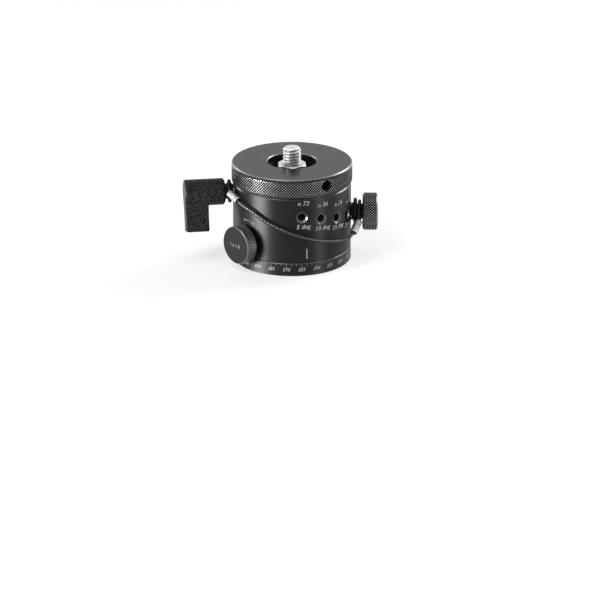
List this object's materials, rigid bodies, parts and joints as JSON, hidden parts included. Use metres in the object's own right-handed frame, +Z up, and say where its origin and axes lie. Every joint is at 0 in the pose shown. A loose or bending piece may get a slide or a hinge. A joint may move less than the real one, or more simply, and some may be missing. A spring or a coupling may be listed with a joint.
{
  "type": "panoramic tripod head",
  "caption": "Round indexed panoramic tripod head: click-stop housing on a scaled base, knurled turntable with tripod stud, clamp lever, lock knob and tethered screw-in index plunger.",
  "frame": {"origin": "centre of the base's bottom face, at the mouth of the tripod socket", "axes": "+Z up along both pan axes, towards the stud; +X towards the index plunger; -Y towards the viewer's side, with the lock knob and the scale's index line"},
  "size_m": [0.1023, 0.0654, 0.0606],
  "materials": {
    "black_anodised": "satin",
    "disc_anodised": "satin",
    "bare_aluminium": "satin",
    "stainless": "satin",
    "black_steel": "satin",
    "drum_steel": "satin",
    "brass": "satin",
    "slide_plastic": "matte",
    "lever_plastic": "fine textured",
    "coated_cable": "satin",
    "crimp_aluminium": "satin"
  },
  "bodies": {
    "base": {"base_plate": "black_anodised", "scale_ring": "black_anodised", "tripod_bush": "stainless", "base_screws": "stainless", "index_drum": "drum_steel", "lower_slide_washer": "slide_plastic", "upper_slide_washer": "slide_plastic"},
    "housing": {"housing": "black_anodised", "bearing_deck": "bare_aluminium", "retaining_ring": "bare_aluminium", "turntable_washer_low": "slide_plastic", "turntable_washer_high": "slide_plastic", "lever_loop": "coated_cable", "lever_ferrule": "crimp_aluminium", "tether_cable": "coated_cable"},
    "turntable": {"turntable_hub": "black_anodised", "top_disc": "disc_anodised", "rim_set_screw": "black_steel", "nut_washer": "black_steel", "stud_nut": "stainless", "stud": "stainless"},
    "plunger_core": {"spring_seat": "stainless", "plunger_spring": "stainless", "plunger_loop": "coated_cable", "plunger_ferrule": "crimp_aluminium"},
    "plunger_knob": {"plunger_sleeve": "black_steel", "plunger_knob": "black_anodised"},
    "plunger_tip": {"plunger_tip": "stainless"},
    "lock_core": {"lock_shoe": "brass"},
    "lock_knob": {"lock_knob": "black_anodised", "lock_screw": "stainless"},
    "clamp_core": {"clamp_shoe": "brass"},
    "lever": {"lever_handle": "lever_plastic", "lever_insert": "black_steel", "lever_stud": "stainless"}
  },
  "joints": [
    {"name": "housing_pan", "type": "hinge", "parent": "base", "child": "housing", "pos_m": [0, 0, 0.025], "axis": [0, 0, 1], "continuous": true},
    {"name": "turntable_pan", "type": "hinge", "parent": "housing", "child": "turntable", "pos_m": [0, 0, 0.038], "axis": [0, 0, 1], "continuous": true},
    {"name": "plunger_feed", "type": "slide", "parent": "housing", "child": "plunger_core", "axis": [1, 0, 0], "range_m": [0, 0.0072]},
    {"name": "plunger_turn", "type": "hinge", "parent": "plunger_core", "child": "plunger_knob", "pos_m": [0.041, 0, 0.0252], "axis": [1, 0, 0], "range_deg": [0, 3240]},
    {"name": "tip_spring", "type": "slide", "parent": "plunger_core", "child": "plunger_tip", "axis": [1, 0, 0], "range_m": [0, 0.0008], "stiffness_N_per_m": 600, "springref_m": -0.003, "deforming": ["plunger_spring"]},
    {"name": "lock_feed", "type": "slide", "parent": "housing", "child": "lock_core", "axis": [-0.7431, -0.6691, 0], "range_m": [0, 0.0015]},
    {"name": "lock_turn", "type": "hinge", "parent": "lock_core", "child": "lock_knob", "pos_m": [-0.02675, -0.02409, 0.01525], "axis": [-0.7431, -0.6691, 0], "range_deg": [0, 540]},
    {"name": "clamp_feed", "type": "slide", "parent": "housing", "child": "clamp_core", "axis": [-0.9877, -0.1564, 0], "range_m": [0, 0.000333]},
    {"name": "lever_turn", "type": "hinge", "parent": "clamp_core", "child": "lever", "pos_m": [-0.05017, -0.00795, 0.038], "axis": [-0.9877, -0.1564, 0], "range_deg": [0, 120]}
  ],
  "couplings": [
    {"joint": "plunger_turn", "follows": "plunger_feed", "rad_per_m": 7853.9},
    {"joint": "lock_turn", "follows": "lock_feed", "rad_per_m": 6283.1},
    {"joint": "lever_turn", "follows": "clamp_feed", "rad_per_m": 6283.1}
  ]
}
